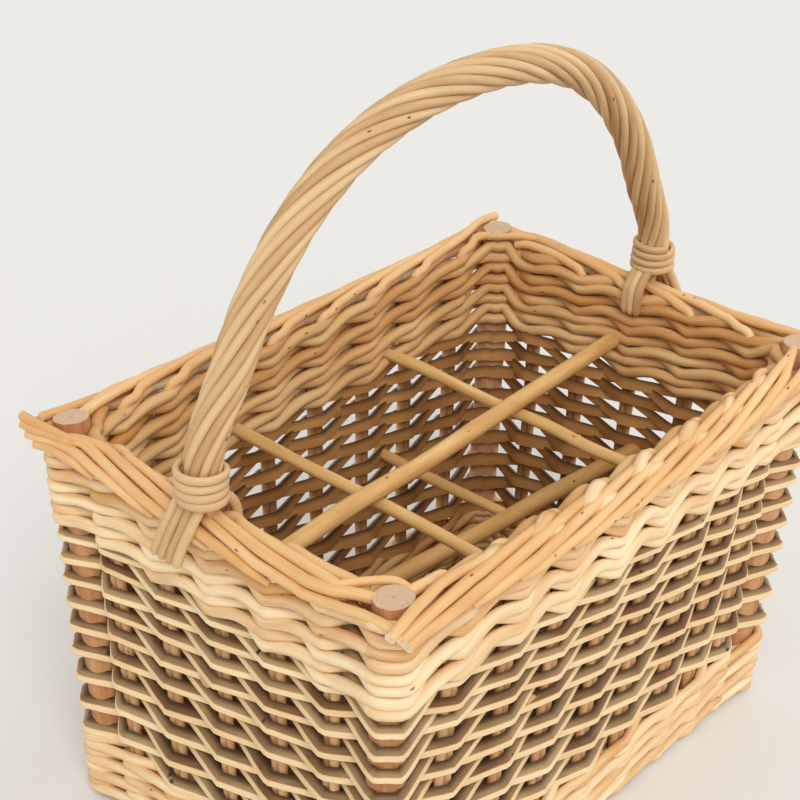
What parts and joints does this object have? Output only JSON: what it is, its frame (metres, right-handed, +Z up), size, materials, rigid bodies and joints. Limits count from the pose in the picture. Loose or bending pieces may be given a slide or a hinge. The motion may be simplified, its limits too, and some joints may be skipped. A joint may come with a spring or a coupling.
{
  "type": "bottle basket",
  "caption": "Rectangular willow bottle carrier with corner posts, woven walls, tiered stick dividers and a fixed bow handle bound to the short sides.",
  "frame": {"origin": "on the floor under the middle of the base", "axes": "+X along the basket to one handle foot, +Y across it, +Z up"},
  "size_m": [0.3688, 0.2412, 0.3955],
  "materials": {
    "honey_willow": "smooth peeled rods, warm honey",
    "white_willow": "smooth peeled rods, cream",
    "split_willow": "split rods, dark bark outside and a pale cleft face",
    "post_wood": "round sticks with brown bark and cut tops",
    "buff_stick": "smooth golden sticks",
    "base_willow": "woven brown rods",
    "handle_willow": "straw-coloured rods laid in a slow twist"
  },
  "bodies": {
    "root": {"corner_post_front_left": "post_wood", "corner_post_front_right": "post_wood", "corner_post_back_right": "post_wood", "corner_post_back_left": "post_wood", "weave_course_01": "split_willow", "weave_course_02": "split_willow", "weave_course_03": "split_willow", "weave_course_04": "split_willow", "weave_course_05": "split_willow", "weave_course_06": "split_willow", "weave_course_07": "split_willow", "weave_course_08": "split_willow", "weave_course_09": "split_willow", "weave_course_10": "split_willow", "weave_course_11": "split_willow", "weave_course_12": "split_willow", "weave_course_13": "split_willow", "weave_course_14": "split_willow", "weave_course_15": "split_willow", "weave_course_16": "split_willow", "weave_course_17": "split_willow", "weave_course_18": "split_willow", "lower_wale_1": "white_willow", "lower_wale_2": "white_willow", "lower_wale_3": "white_willow", "lower_wale_4": "white_willow", "lower_wale_5": "white_willow", "upper_wale_1": "white_willow", "upper_wale_2": "white_willow", "upper_wale_3": "white_willow", "upper_wale_4": "white_willow", "upper_wale_5": "white_willow", "front_uprights_and_border": "honey_willow", "right_uprights_and_border": "honey_willow", "back_uprights_and_border": "honey_willow", "left_uprights_and_border": "honey_willow", "upper_long_divider": "buff_stick", "upper_cross_divider_1": "buff_stick", "upper_cross_divider_2": "buff_stick", "lower_long_divider": "buff_stick", "lower_cross_divider_1": "buff_stick", "lower_cross_divider_2": "buff_stick", "base_stick_1": "post_wood", "base_stick_2": "post_wood", "base_stick_3": "post_wood", "base_stick_4": "post_wood", "base_weave": "base_willow", "handle_bow": "handle_willow", "handle_collar_left": "handle_willow", "handle_outer_tails_left": "handle_willow", "handle_inner_tails_left": "handle_willow", "handle_collar_right": "handle_willow", "handle_outer_tails_right": "handle_willow", "handle_inner_tails_right": "handle_willow"}
  },
  "joints": []
}
